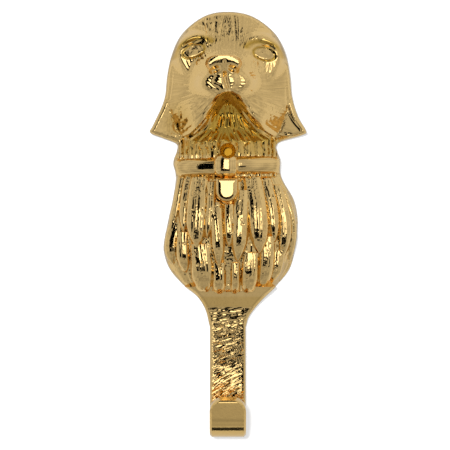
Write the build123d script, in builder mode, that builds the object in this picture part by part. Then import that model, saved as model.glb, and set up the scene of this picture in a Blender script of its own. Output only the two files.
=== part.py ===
"""Cast brass wall hook: a spaniel's head with collar and tag, chest fur, strap and short upturned hook.

Millimetres, +Z up, wall plane at y = 0, front towards -Y, screw axis through the origin.
"""

import os
from math import cos, exp, pi, radians, sin

from build123d import *

# Heights from the screw axis
head_top_z = 54.4
ear_tip_z = 6.9
ear_root_z = 3.6
neck_top_z = 9.0
neck_bottom_z = -9.0
collar_z = -6.2
chest_top_z = -8.0
chest_bottom_z = -57.0
land_top_z = -54.0
land_bottom_z = -67.2
hook_bottom_z = -110.6
hook_tip_z = -95.0

# Outline of the head, from the crown down to the tip of an ear
crown_half_width = 11.8
crown_z = 51.3
temple_half_width = 20.7
temple_z = 41.9
cheek_half_width = 24.0
cheek_z = 27.9
ear_bend_half_width = 25.5
ear_bend_z = 18.5
ear_tip_half_width = 31.6
ear_tip_run = (0.55, -0.83)
ear_corner_radius = 1.6

# Head and ears
rim_depth = 5.4
skull_rise = 8.8
skull_fall = 1.2
skull_z = 27.0
skull_half_width = 24.5
skull_half_height = 27.5
ear_rim_depth = 9.0
ear_width = 14.0
ear_lean = 0.32
ear_flap_top_z = 34.0
ear_flap_top_depth = 7.4
relief_half_span = 34.0
relief_margin = 4.0
relief_stations = 8
relief_levels = 22

# Face
face_x = -1.0
muzzle_z = 27.6
muzzle_rise = 8.9
muzzle_half_width = 12.0
muzzle_half_height = 11.0
muzzle_power = 1.25
pad_x = 5.6
pad_z = 25.4
pad_rise = 1.1
pad_spread = (4.4, 3.8)
brow_x = 13.0
brow_z = 43.5
brow_rise = 1.8
brow_spread = (6.0, 3.4)
jowl_x = 11.8
jowl_z = 12.5
jowl_rise = 5.0
jowl_spread = (5.8, 8.0)
flew_top_z = 21.6
flew_fold = (5.6, 17.4)
flew_turn = (9.2, 10.2)
flew_foot = (18.5, 5.4)
throat_foot_z = -5.0
throat_z = 12.5
throat_floor = 8.6
throat_lean = 0.267
throat_lock_root = (3.0, 19.5)
throat_lock_tip = (8.6, 2.0)
throat_lock_girth = 7.6
throat_lock_pairs = 1
# Each eye by its middle (x, z) and the slant of its lids
eyes_at = ((-13.2, 38.4, 22.0), (14.1, 37.4, -14.0))
eye_socket_sink = 2.4
eye_socket_spread = 5.0
eye_radius = 3.4
eye_stand = 1.4
lid_half_width = 5.6
lid_half_height = 3.5
lid_width = 1.3
lid_stand = 0.7
nose_x = -1.6
nose_width = 12.8
nose_height = 7.4
nose_taper = 65.0
nose_top_z = 35.2
nose_front = 26.0
nose_root = 20.0
nose_bevel = 1.1
nose_corner = 1.8
nostril_half_width = 1.6
nostril_half_height = 1.3
nostril_depth = 1.4
nostril_x = 3.3
nostril_z = 30.7

# Neck, collar and tag
neck_half_width = 18.8
neck_rim = 2.4
neck_top_swell = 5.6
neck_foot_swell = 8.2
neck_rib_count = 20
neck_rib_crown = 0.45
collar_half_width = 21.4
collar_depth = 13.6
collar_end_depth = 5.0
collar_height = 7.2
collar_bevel = 1.9
knot_radius = 4.8
knot_height = 9.0
knot_stand = 2.0
knot_bevel = 1.4
tag_width = 8.4
tag_length = 8.6
tag_top_z = -10.4
tag_front = 17.4
tag_root = 6.0
tag_bevel = 0.8

# Chest
chest_rise = 12.0
chest_end_rise = 6.0
chest_swell_skew = 0.9
chest_rim = 3.4
chest_waist_half_width = 19.8
chest_left_half_width = 24.6
chest_left_skew = 1.25
chest_right_half_width = 26.6
chest_right_skew = 0.75
chest_foot_half_width = 13.0
chest_levels = 11
strand_count = 13
strand_crown = 0.6
lock_sink = 0.45
lock_rings = ((0.0, 0.55), (0.35, 0.9), (0.65, 1.0), (0.88, 0.62), (1.0, 0.1))

# Locks laid over the chest, each by its root (x, z), its tip (x, z), its girth and its sideways bend
fur_locks = (
    (-17.9, -9.9, -22.2, -31.4, 3.6, 0.0),
    (-15.1, -9.9, -17.1, -31.4, 3.4, -0.6),
    (-10.5, -9.9, -12.0, -37.2, 7.0, -0.6),
    (-6.2, -11.9, -8.1, -33.7, 3.4, 0.4),
    (-4.6, -19.7, -3.4, -44.7, 4.6, 0.0),
    (0.5, -20.5, 0.5, -36.9, 3.9, 0.0),
    (5.1, -15.0, 3.8, -42.7, 5.8, 0.3),
    (9.4, -9.9, 12.2, -39.6, 7.2, 0.6),
    (14.5, -10.3, 18.0, -35.3, 4.2, 0.8),
    (18.4, -13.1, 20.4, -43.1, 4.4, 2.6),
    (21.4, -15.8, 24.0, -43.1, 3.4, 2.2),
    (-20.2, -27.5, -21.4, -43.9, 5.0, -1.4),
    (-17.1, -31.4, -16.3, -47.0, 4.4, -0.8),
    (-10.5, -36.1, -9.3, -55.6, 7.6, 0.0),
    (-3.4, -43.1, -3.4, -56.2, 4.6, 0.0),
    (3.0, -43.1, 2.8, -56.2, 3.2, 0.0),
    (9.0, -39.2, 7.9, -56.0, 5.8, 0.0),
    (15.3, -33.0, 13.3, -54.0, 5.2, 0.6),
    (20.0, -38.4, 17.2, -51.0, 4.2, 0.4),
)

# Strap and hook
strap_width = 13.9
strap_thickness = 4.8
strap_bevel = 0.7
land_half_width = 15.5
land_depth = 8.6
land_throat_half_width = 8.4
land_throat_z = -63.6
land_throat_depth = 5.6
hook_gap = 13.0
hook_lean = 18.0
hook_tip_corner = 5.0

# Fixing and cored back
screw_hole_diameter = 3.4
screw_mouth_diameter = 6.2
screw_seat_depth = 3.6
head_pocket_radius = 12.0
head_pocket_z = 33.0
head_pocket_depth = 7.0
chest_pocket_radius = 13.0
chest_pocket_z = -33.0
chest_pocket_depth = 6.0
pocket_draft = 1.6

# Longer than the casting is deep, for cuts that must come out at the front
clear_of_front = 40.0


def bump(dx, dz, spread_x, spread_z):
    """Soft swelling, one at its middle and fading out beyond its spread."""
    return exp(-((dx / spread_x) ** 2) - (dz / spread_z) ** 2)


def head_depth(x, z):
    """Depth from the wall to the front of the head."""
    reach = (x / skull_half_width) ** 2 + ((z - skull_z) / skull_half_height) ** 2
    depth = rim_depth + skull_rise * max(0.0, 1.0 - reach**skull_fall)
    across = ((x - face_x) / muzzle_half_width) ** 2 + ((z - muzzle_z) / muzzle_half_height) ** 2
    depth += muzzle_rise * exp(-(across**muzzle_power))
    for side in (-1, 1):
        depth += pad_rise * bump(x - face_x - side * pad_x, z - pad_z, *pad_spread)
        depth += brow_rise * bump(x - side * brow_x, z - brow_z, *brow_spread)
        depth += jowl_rise * bump(x - side * jowl_x, z - jowl_z, *jowl_spread)
    for eye_x, eye_z, slant in eyes_at:
        depth -= eye_socket_sink * bump(x - eye_x, z - eye_z, eye_socket_spread, eye_socket_spread)
    return depth


def face_plane(x, z, sunk=0.0):
    """Plane lying on the face, its normal straight out of the surface."""
    step = 0.5
    slope_x = (head_depth(x + step, z) - head_depth(x - step, z)) / (2 * step)
    slope_z = (head_depth(x, z + step) - head_depth(x, z - step)) / (2 * step)
    outward = Vector(-slope_x, -1, -slope_z).normalized()
    spot = Vector(x, -head_depth(x, z), z) - outward * sunk
    return Plane(spot, x_dir=Vector(1, -slope_x, 0), z_dir=outward)


def chest_along(z):
    return min(1.0, max(0.0, (chest_top_z - z) / (chest_top_z - chest_bottom_z)))


def chest_swell(z):
    """How far the chest stands out over its rim at one height."""
    return chest_end_rise + (chest_rise - chest_end_rise) * sin(pi * chest_along(z) ** chest_swell_skew)


def chest_half_width(z, side_half_width, skew):
    """Half width of one side of the chest; the skew sets how high its fullest point lies."""
    along = chest_along(z)
    ends = chest_waist_half_width + (chest_foot_half_width - chest_waist_half_width) * along**3
    return ends + (side_half_width - ends) * sin(pi * along**skew) ** 0.8


def chest_left(z):
    return chest_half_width(z, chest_left_half_width, chest_left_skew)


def chest_right(z):
    return chest_half_width(z, chest_right_half_width, chest_right_skew)


def chest_depth(x, z):
    """Depth from the wall to the front of the chest."""
    across = x / (chest_left(z) if x < 0 else chest_right(z))
    return chest_rim + chest_swell(z) * max(0.0, 1.0 - across**2) ** 0.5


def throat_depth(x, z):
    """Depth from the wall to the floor of the hollow under the jaw."""
    return throat_floor - throat_lean * (z - throat_z)


def fur_lock(depth_at, root_x, root_z, tip_x, tip_z, girth, bend=0.0):
    """Lock of hair lofted over a surface: rings that swell from its root and close at its tip."""
    spots = []
    for along, share in lock_rings:
        x = root_x + (tip_x - root_x) * along + bend * sin(pi * along)
        z = root_z + (tip_z - root_z) * along
        spots.append(Vector(x, -depth_at(x, z), z))
    with BuildPart() as lock:
        for k, (along, share) in enumerate(lock_rings):
            run = spots[min(k + 1, len(spots) - 1)] - spots[max(k - 1, 0)]
            radius = girth / 2 * share
            sunk = Vector(0, radius * lock_sink, 0)
            with BuildSketch(Plane(spots[k] + sunk, x_dir=(1, 0, 0), z_dir=run)):
                RegularPolygon(radius, 6, rotation=90)
        loft(ruled=True)
    return lock.part


def ridged_front(left, right, depth, rim, count, crown):
    """Section of combed fur: ridges side by side round the front, from the left edge to the right edge."""
    corners = [Vector(-left, 0)]
    for k in range(2 * count + 1):
        turn = pi * (k / (2 * count) - 0.5)
        half = left if turn < 0 else right
        stand = crown * (k % 2)
        corners.append(Vector((half + stand) * sin(turn), -rim - (depth + stand) * cos(turn)))
    corners.append(Vector(right, 0))
    Polyline(*corners, close=True)


head_stations = [relief_half_span * k / relief_stations for k in range(-relief_stations, relief_stations + 1)]
relief_foot_z = ear_root_z - relief_margin
relief_rise = head_top_z + relief_margin - relief_foot_z
head_levels = [relief_foot_z + relief_rise * k / relief_levels for k in range(relief_levels + 1)]

# Head: a lofted relief trimmed to the outline of the head and ears
with BuildPart() as head:
    for level in head_levels:
        with BuildSketch(Plane.XY.offset(level)):
            with BuildLine():
                front = Spline(*[(x, -head_depth(x, level)) for x in head_stations])
                Polyline(front @ 1, (relief_half_span, 0), (-relief_half_span, 0), front @ 0)
            make_face()
    loft(ruled=True)
    with BuildSketch(Plane.XZ) as head_outline:
        with BuildLine():
            crown = Spline(
                (0, head_top_z),
                (crown_half_width, crown_z),
                (temple_half_width, temple_z),
                (cheek_half_width, cheek_z),
                (ear_bend_half_width, ear_bend_z),
                (ear_tip_half_width, ear_tip_z),
                tangents=((1, 0), ear_tip_run),
            )
            Polyline(crown @ 1, (neck_half_width, ear_root_z), (neck_half_width, 0), (0, 0))
            mirror(about=Plane.YZ)
        make_face()
        ear_tips = head_outline.vertices().sort_by(Axis.X)
        fillet([ear_tips[0], ear_tips[-1]], ear_corner_radius)
    extrude(amount=clear_of_front, mode=Mode.INTERSECT)

# Ears: flaps that lean in towards the cheeks from a raised rim, trimmed to the same outline
ear_root_half_width = ear_tip_half_width - ear_width
with BuildPart() as ears:
    for level, depth in ((ear_root_z, ear_rim_depth), (ear_flap_top_z, ear_flap_top_depth)):
        with BuildSketch(Plane.XY.offset(level)):
            with BuildLine():
                Polyline(
                    (ear_tip_half_width, 0),
                    (ear_tip_half_width, -depth),
                    (ear_root_half_width, ear_lean * ear_width - depth),
                    (ear_root_half_width, 0),
                    close=True,
                )
            make_face()
    loft(ruled=True)
    mirror(about=Plane.YZ)
    extrude(head_outline.sketch, amount=clear_of_front, mode=Mode.INTERSECT)

# Hollow under the jaw, between the hanging flews, its floor leaning out towards the neck
throat_plane = Plane((face_x, -throat_floor, throat_z), x_dir=(1, 0, 0), z_dir=(0, -1, throat_lean))
with BuildPart() as throat:
    with BuildSketch(throat_plane):
        with BuildLine():
            flew = Spline(
                (0, flew_top_z - throat_z),
                (flew_fold[0], flew_fold[1] - throat_z),
                (flew_turn[0], flew_turn[1] - throat_z),
                (flew_foot[0], flew_foot[1] - throat_z),
            )
            Polyline(flew @ 1, (flew_foot[0], throat_foot_z - throat_z), (0, throat_foot_z - throat_z))
            mirror(about=Plane.YZ)
        make_face()
    extrude(amount=clear_of_front, dir=(0, -1, 0))

# Folds of fur fanning down the hollow from under the chin
fold_shares = [k / throat_lock_pairs for k in range(-throat_lock_pairs, throat_lock_pairs + 1)]
throat_locks = [
    fur_lock(
        throat_depth,
        face_x + throat_lock_root[0] * share,
        throat_lock_root[1],
        face_x + throat_lock_tip[0] * share,
        throat_lock_tip[1],
        throat_lock_girth,
    )
    for share in fold_shares
]

# Eyes: balls in their sockets, each ringed by its lids
with BuildPart() as eyes:
    for eye_x, eye_z, slant in eyes_at:
        with Locations(face_plane(eye_x, eye_z, eye_radius - eye_stand)):
            Sphere(eye_radius)
        with BuildSketch(face_plane(eye_x, eye_z, lid_stand)):
            Ellipse(lid_half_width, lid_half_height, rotation=slant)
            Ellipse(
                lid_half_width - lid_width,
                lid_half_height - lid_width,
                rotation=slant,
                mode=Mode.SUBTRACT,
            )
        extrude(amount=2 * lid_stand)

# Nose leather with its nostrils
with BuildPart() as nose:
    with BuildSketch(Plane.XZ.offset(nose_front)) as leather:
        with Locations((nose_x, nose_top_z - nose_height / 2)):
            Trapezoid(nose_width, nose_height, nose_taper, rotation=180)
        fillet(leather.vertices(), nose_corner)
    extrude(amount=nose_root - nose_front)
    chamfer(nose.faces().sort_by(Axis.Y)[0].edges(), nose_bevel)
    with BuildSketch(Plane.XZ.offset(nose_front)):
        with Locations((nose_x, nostril_z)):
            with GridLocations(2 * nostril_x, 0, 2, 1):
                Ellipse(nostril_half_width, nostril_half_height)
    extrude(amount=-nostril_depth, mode=Mode.SUBTRACT)

# Neck fur: upright ribs that swell from the jowls down to the collar
with BuildPart() as neck:
    for level, swell in ((neck_top_z, neck_top_swell), (neck_bottom_z, neck_foot_swell)):
        with BuildSketch(Plane.XY.offset(level)):
            with BuildLine():
                ridged_front(
                    neck_half_width,
                    neck_half_width,
                    swell,
                    neck_rim,
                    neck_rib_count,
                    neck_rib_crown,
                )
            make_face()
    loft(ruled=True)

# Collar: a bevelled band bowed round the front of the neck
with BuildPart() as collar:
    with BuildSketch(Plane.XY.offset(collar_z - collar_height / 2)):
        with BuildLine():
            bow = EllipticalCenterArc(
                (0, -collar_end_depth),
                collar_half_width,
                collar_depth - collar_end_depth,
                start_angle=180,
                arc_size=180,
            )
            Polyline(bow @ 1, (collar_half_width, 0), (-collar_half_width, 0), bow @ 0)
        make_face()
    extrude(amount=collar_height)
    band_edges = collar.edges().filter_by(GeomType.ELLIPSE)
    chamfer(band_edges, collar_bevel)

# Knot of the collar, a short barrel over the band
with BuildPart() as knot:
    with Locations((0, knot_radius - collar_depth - knot_stand, collar_z)):
        Cylinder(knot_radius, knot_height)
    chamfer(knot.edges().filter_by(GeomType.CIRCLE), knot_bevel)

# Bare tag hanging below the knot
with BuildPart() as tag:
    with BuildSketch(Plane.XZ.offset(tag_root)):
        with Locations((0, tag_top_z)):
            Rectangle(tag_width, tag_length - tag_width / 2, align=(Align.CENTER, Align.MAX))
        with Locations((0, tag_top_z - tag_length + tag_width / 2)):
            Circle(tag_width / 2)
    extrude(amount=tag_front - tag_root)
    chamfer(tag.faces().sort_by(Axis.Y)[0].edges(), tag_bevel)

# Chest: strands of fur lofted down from the collar, with two tiers of locks over them
chest_locks = [fur_lock(chest_depth, *lock) for lock in fur_locks]
with BuildPart() as chest:
    for k in range(chest_levels + 1):
        level = chest_top_z + (chest_bottom_z - chest_top_z) * k / chest_levels
        with BuildSketch(Plane.XY.offset(level)):
            with BuildLine():
                ridged_front(
                    chest_left(level),
                    chest_right(level),
                    chest_swell(level),
                    chest_rim,
                    strand_count,
                    strand_crown,
                )
            make_face()
    loft(ruled=True)
    add(chest_locks)

# Land: the polished slope below the chest, narrowing and running out into the strap
with BuildPart() as land:
    for level, half_width, depth in (
        (land_top_z, land_half_width, land_depth),
        (land_throat_z, land_throat_half_width, land_throat_depth),
        (land_bottom_z, strap_width / 2, strap_thickness),
    ):
        with BuildSketch(Plane.XY.offset(level)):
            with Locations((0, -depth / 2)):
                Rectangle(2 * half_width, depth)
    loft(ruled=True)

# Strap and hook: one flat bar with bevelled edges, bent up at its foot, the tip leaning out with rounded corners
bend_radius = (hook_gap + strap_thickness) / 2
bend_z = hook_bottom_z + bend_radius + strap_thickness / 2
tip_rise = hook_tip_z - bend_z + bend_radius * sin(radians(hook_lean))
with BuildPart() as strap:
    with BuildLine(Plane.YZ):
        drop = Line((-strap_thickness / 2, land_top_z), (-strap_thickness / 2, bend_z))
        bend = JernArc(drop @ 1, drop % 1, bend_radius, hook_lean - 180)
        tip = PolarLine(bend @ 1, tip_rise / cos(radians(hook_lean)), direction=bend % 1)
    with BuildSketch(Plane(drop @ 0, x_dir=(1, 0, 0), z_dir=(0, 0, -1))) as bar:
        Rectangle(strap_width, strap_thickness)
        chamfer(bar.vertices(), strap_bevel)
    sweep()
    tip_plane = Plane(tip @ 1, x_dir=(1, 0, 0), z_dir=Vector(1, 0, 0).cross(tip % 1))
    with BuildSketch(tip_plane):
        Rectangle(strap_width, 2 * hook_tip_corner)
        RectangleRounded(
            strap_width,
            2.5 * hook_tip_corner,
            hook_tip_corner,
            align=(Align.CENTER, Align.MAX),
            mode=Mode.SUBTRACT,
        )
    extrude(amount=strap_thickness, both=True, mode=Mode.SUBTRACT)

# Cores that hollow the back behind the head and the chest
with BuildPart() as pockets:
    for pocket_z, pocket_radius, pocket_depth in (
        (head_pocket_z, head_pocket_radius, head_pocket_depth),
        (chest_pocket_z, chest_pocket_radius, chest_pocket_depth),
    ):
        with Locations(Plane((0, 0, pocket_z), z_dir=(0, -1, 0))):
            Cone(
                pocket_radius,
                pocket_radius - pocket_draft,
                pocket_depth,
                align=(Align.CENTER, Align.CENTER, Align.MIN),
            )

# Screw hole with its countersunk seat, open to the front
seat_top = screw_seat_depth + (screw_mouth_diameter - screw_hole_diameter) / 2
with BuildPart() as screw_hole:
    with BuildSketch(Plane.XY):
        with BuildLine():
            Polyline(
                (0, 0),
                (screw_hole_diameter / 2, 0),
                (screw_hole_diameter / 2, -screw_seat_depth),
                (screw_mouth_diameter / 2, -seat_top),
                (screw_mouth_diameter / 2, -clear_of_front),
                (0, -clear_of_front),
                close=True,
            )
        make_face()
    revolve(axis=Axis.Y)

# Whole casting
with BuildPart() as hook_casting:
    add([head.part, ears.part])
    add(throat.part, mode=Mode.SUBTRACT)
    add(throat_locks)
    add([eyes.part, nose.part, neck.part, collar.part, knot.part])
    add([chest.part, tag.part, land.part, strap.part])
    add([pockets.part, screw_hole.part], mode=Mode.SUBTRACT)

hook_casting.part.label = "hook_casting"
os.makedirs("parts", exist_ok=True)
export_step(hook_casting.part, "parts/hook_casting.step")
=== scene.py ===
import math

import bmesh
import bpy
import numpy as np
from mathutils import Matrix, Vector


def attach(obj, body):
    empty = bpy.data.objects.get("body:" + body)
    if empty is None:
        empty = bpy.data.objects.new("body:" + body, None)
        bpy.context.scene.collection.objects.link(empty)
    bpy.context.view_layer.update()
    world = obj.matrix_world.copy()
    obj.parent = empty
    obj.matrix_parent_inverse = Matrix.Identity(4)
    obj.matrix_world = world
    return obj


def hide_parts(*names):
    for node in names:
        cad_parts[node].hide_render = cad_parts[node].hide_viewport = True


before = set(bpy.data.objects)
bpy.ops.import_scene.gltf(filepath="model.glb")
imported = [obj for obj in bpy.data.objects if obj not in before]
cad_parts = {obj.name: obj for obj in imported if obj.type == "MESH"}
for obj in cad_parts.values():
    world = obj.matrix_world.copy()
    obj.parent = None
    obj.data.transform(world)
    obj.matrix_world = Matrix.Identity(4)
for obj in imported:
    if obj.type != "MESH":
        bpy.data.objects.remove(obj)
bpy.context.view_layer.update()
mm = 0.001  # the carving below is worked out in millimetres
farAway = 1e6
print("frame loaded")


# curves and fields for the carving

def clamp(value):
    return np.clip(value, 0, 1)


def ease(low, high, value):  # from 0 at low to 1 at high
    share = clamp((value - low) / (high - low))
    return share * share * (3 - 2 * share)


def arch(across):  # a half circle, from -1 to 1
    return np.sqrt(clamp(1 - across ** 2))


def oval(dx, dz, half):  # 1 on the oval itself
    return (dx / half[0]) ** 2 + (dz / half[1]) ** 2


def bump(dx, dz, spread):
    return np.exp(-oval(dx, dz, spread))


def mound(x, z, m):
    return m["rise"] * bump(x - m["x"], z - m["z"], m["spread"])


def ridge(away, wide):
    return np.exp(-(away / wide) ** 2)


def turnedBy(dx, dz, angle):
    c, s = math.cos(angle), math.sin(angle)
    return dx * c + dz * s, dz * c - dx * s


def throughPoints(points, perSpan=8, closed=False):  # a smooth curve that passes through every point
    p = np.array(points, float)
    if closed:
        p = np.vstack([p[-1], p, p[0], p[1]])
    else:
        p = np.vstack([2 * p[0] - p[1], p, 2 * p[-1] - p[-2]])
    curve = []
    for i in range(len(p) - 3):
        a, b, c, d = p[i:i + 4]
        for f in np.arange(perSpan) / perSpan:
            curve.append(0.5 * (2 * b + (c - a) * f + (2 * a - 5 * b + 4 * c - d) * f ** 2
                                + (3 * b - a - 3 * c + d) * f ** 3))
    if not closed:
        curve.append(p[-2])
    return np.array(curve)


def toLine(x, z, a, b):  # squared distance to the line from a to b, and the share along it
    edge = b - a
    share = clamp(((x - a[0]) * edge[0] + (z - a[1]) * edge[1]) / (edge @ edge))
    return (x - a[0] - share * edge[0]) ** 2 + (z - a[1] - share * edge[1]) ** 2, share


def nearCurve(x, z, points, perSpan=6):  # distance to a curve, and the share along it
    curve = throughPoints(points, perSpan)
    best = np.full(x.shape, farAway)
    share = np.zeros(x.shape)
    last = len(curve) - 1
    for i in range(last):
        away, part = toLine(x, z, curve[i], curve[i + 1])
        nearer = away < best
        best = np.where(nearer, away, best)
        share = np.where(nearer, (i + part) / last, share)
    return np.sqrt(best), share


def scored(x, z, points, depth, wide, start):  # a groove along a curve, which fades in over its start
    away, share = nearCurve(x, z, points)
    return depth * ridge(away, wide) * ease(*start, share)


def insideDistance(x, z, loop):  # positive inside a closed loop
    best = np.full(x.shape, farAway)
    inside = np.zeros(x.shape, bool)
    for a, b in zip(loop, np.roll(loop, -1, axis=0)):
        best = np.minimum(best, toLine(x, z, a, b)[0])
        edge = b - a
        if edge[1]:
            inside ^= ((a[1] > z) != (b[1] > z)) & (x < edge[0] * (z - a[1]) / edge[1] + a[0])
    return np.where(inside, 1, -1) * np.sqrt(best)


strandWaves = {"pitchAndWeight": ((1.0, 1.0), (1.73, 0.7), (2.61, 0.5), (3.9, 0.35)), "whole": 1.7}


def strands(q, seed):  # uneven waves of q, about -1 to 1
    draw = np.random.default_rng(seed)
    total = np.zeros_like(q)
    for pitch, weight in strandWaves["pitchAndWeight"]:
        total += weight * np.sin(q * pitch + draw.uniform(0, 2 * math.pi))
    return total / strandWaves["whole"]


def patches(u, v, seed, knots=64):  # smooth random field with one knot a unit
    grid = np.random.default_rng(seed).uniform(-1, 1, (knots, knots))
    i, j = np.floor(u).astype(int), np.floor(v).astype(int)
    fu, fv = ease(0, 1, u - i), ease(0, 1, v - j)

    def row(up):
        return grid[i % knots, (j + up) % knots] * (1 - fu) + grid[(i + 1) % knots, (j + up) % knots] * fu

    return row(0) * (1 - fv) + row(1) * fv


def grain(x, z, perX, perZ, seed):  # patches, so many to the millimetre
    return patches(x * perX, z * perZ, seed)


# the skull with its muzzle, pads, brows and jowls
headShape = {
    "rim": 5.4, "rise": 8.8, "middleZ": 27.0, "half": (24.5, 27.5), "fall": 1.2, "least": -0.2,
    "muzzle": dict(x=-1.0, z=27.6, rise=8.9, spread=(12.0, 11.0), power=1.25),
    "pad": dict(x=5.6, z=25.4, rise=1.1, spread=(4.4, 3.8)),
    "brow": dict(x=13.0, z=43.5, rise=1.8, spread=(6.0, 3.4)),
    "jowl": dict(x=11.8, z=12.5, rise=5.0, spread=(5.8, 8.0)),
    "foot": 3.2,  # the neck takes over below this
}


def headBase(x, z):
    s, m = headShape, headShape["muzzle"]
    h = s["rim"] + s["rise"] * np.clip(1 - oval(x, z - s["middleZ"], s["half"]) ** s["fall"], s["least"], 1)
    h += m["rise"] * np.exp(-oval(x - m["x"], z - m["z"], m["spread"]) ** m["power"])
    for name in ("pad", "brow", "jowl"):
        f = s[name]
        shift = m["x"] if name == "pad" else 0
        for side in (-1, 1):
            h += f["rise"] * bump(x - shift - side * f["x"], z - f["z"], f["spread"])
    return h


# hair that fans out from the nose, and chiselled strokes above the brows
hairShape = {
    "source": (-1.0, 29.0), "bare": (6, 11), "pitch": 52.0, "depth": 0.09,
    "uneven": 0.6, "grain": (0.35, 0.35, 31),
    "curl": dict(share=0.35, reach=10, start=0.4),
    "crown": dict(x=-6.0, z=46.5, rise=0.14, spread=(12.0, 5.0)),
    "jaw": dict(depth=0.07, z=(30, 12)),
    "swirl": dict(x=12.0, z=36.0, depth=0.05, pitch=4.5, near=(8, 10), far=(21, 17), above=(38, 42)),
    # start x, start z, end x, end z
    "strokes": [(-17.0, 44.3, -13.8, 45.6), (-14.6, 47.8, -11.4, 46.6), (-12.4, 49.8, -8.8, 48.6),
                (-11.2, 47.2, -8.6, 44.8), (-8.9, 48.9, -6.6, 45.4), (-6.4, 49.6, -5.0, 45.2),
                (-4.4, 48.4, -3.6, 43.4), (-2.4, 48.2, -1.9, 42.6), (0.2, 47.6, -0.5, 42.2),
                (2.2, 46.6, 0.8, 41.6), (-9.6, 51.4, -6.4, 50.6), (-5.2, 52.0, -2.8, 50.4)],
    "strokeWidth": 0.9, "strokeDepth": 0.24, "strokeEnds": 0.5,
}


def carveHair(x, z, h):
    s = hairShape
    curl, jaw, swirl = s["curl"], s["jaw"], s["swirl"]
    dx, dz = x - s["source"][0], z - s["source"][1]
    away = np.hypot(dx, dz)
    turn = np.arctan2(dx, dz) + curl["share"] * np.log(away / curl["reach"] + curl["start"]) * np.sign(dx)
    deep = s["depth"] + mound(x, z, s["crown"]) + jaw["depth"] * ease(*jaw["z"], z)
    deep = deep * (1 + s["uneven"] * grain(x, z, *s["grain"]))
    h = h + deep * strands(turn * s["pitch"], 7) * ease(*s["bare"], away)
    for x0, z0, x1, z1 in s["strokes"]:
        away, share = nearCurve(x, z, [(x0, z0), (x1, z1)], 1)
        cut = s["strokeDepth"] * clamp(1 - away / s["strokeWidth"])
        h = h - cut * np.sin(np.pi * share) ** s["strokeEnds"]
    ring = np.hypot(x - swirl["x"], z - swirl["z"])
    lines = swirl["depth"] * strands(ring * swirl["pitch"], 8)
    lines = lines * ease(*swirl["near"], ring) * ease(*swirl["far"], ring)
    return h + lines * ease(*swirl["above"], z)


# ear flaps that lean in from a raised rim
earShape = {
    "half": 31.6, "root": 17.6, "z": 3.6, "depth": 9.0, "rake": 0.0526, "roll": 1.8, "soft": 0.05, "none": -9,
    "lean": (0.32, 0.4),  # left, right
    "pits": 0.03, "pitGrain": (2.2, 1.1, 62),
    # rough hair where the ears meet the cheeks
    "worn": [dict(x=-19.5, z=11.5, rise=1.0, spread=(4.5, 6.0)),
             dict(x=17.5, z=12.0, rise=0.7, spread=(2.6, 5.0))],
    "wornDepth": 0.22, "wornGrain": (1.3, 1.0, 63),
    "folds": [[(-21.4, 34.0), (-21.9, 25.9), (-22.8, 20.1)],
              [(22.6, 32.0), (22.9, 22.0), (23.4, 17.0), (25.2, 12.3), (28.2, 8.4)]],
    "foldCut": dict(depth=0.25, wide=0.4, start=(0, 0.3)),
}


def carveEars(x, z, h, inside):
    s = earShape
    lean = np.where(x < 0, *s["lean"])
    rolled = np.clip(s["roll"] - inside, 0, None)
    flap = s["depth"] - s["rake"] * (z - s["z"]) - lean * (s["half"] - np.abs(x) + rolled)
    flap += s["pits"] * grain(x, z, *s["pitGrain"]) * (x < 0)
    flap = np.where(np.abs(x) > s["root"], flap, s["none"])
    share = clamp(0.5 + 0.5 * (h - flap) / s["soft"])
    h = flap + (h - flap) * share + share * (1 - share) * s["soft"]
    worn = sum(mound(x, z, m) for m in s["worn"])
    return h + s["wornDepth"] * worn * grain(x, z, *s["wornGrain"])


def carveEarFolds(x, z, h):
    for fold in earShape["folds"]:
        h = h - scored(x, z, fold, **earShape["foldCut"])
    return h


# lips that roll over into the hollow of the throat, which has three cords
throatShape = {
    "lip": [(-21.0, 3.3), (-14.7, 6.4), (-9.7, 10.3), (-8.1, 14.2), (-5.4, 18.5), (-2.3, 21.3), (0.2, 22.0),
            (3.2, 20.9), (6.7, 17.4), (9.4, 13.1), (14.5, 8.4), (22.3, 5.0)],
    "foot": -9.0, "fan": (0.2, 26.0),  # the creases fan out from here
    "floor": 8.6, "z": 12.5, "lean": 0.267, "chin": dict(rise=4.0, z=(13, 21)),
    "cords": dict(root=(3.0, 19.5), tip=(8.6, 2.0), girth=7.6, stand=2.0, taper=1.1, start=(0, 0.15)),
    "hair": dict(depth=0.22, pitch=30), "creases": dict(depth=0.9, pitch=16),
    "roll": dict(rise=0.8, off=1, wide=1.3, z=(3.5, 7)), "fall": (-0.4, 4.6),
    "ripples": dict(depth=0.28, pitch=3.1, start=0.5, near=(0, 0.8), far=(5.5, 3.5)),
    "cleft": dict(points=[(-1.3, 28.7), (-0.9, 26.3), (-0.2, 24.0), (0.2, 21.3)],
                  depth=0.9, wide=0.7, start=(-0.02, 0.1)),
}


def lipLoop():  # the lips' arch, closed across the neck
    lip, foot = throatShape["lip"], throatShape["foot"]
    return np.vstack([throughPoints(lip), [(lip[-1][0], foot), (lip[0][0], foot)]])


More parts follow.
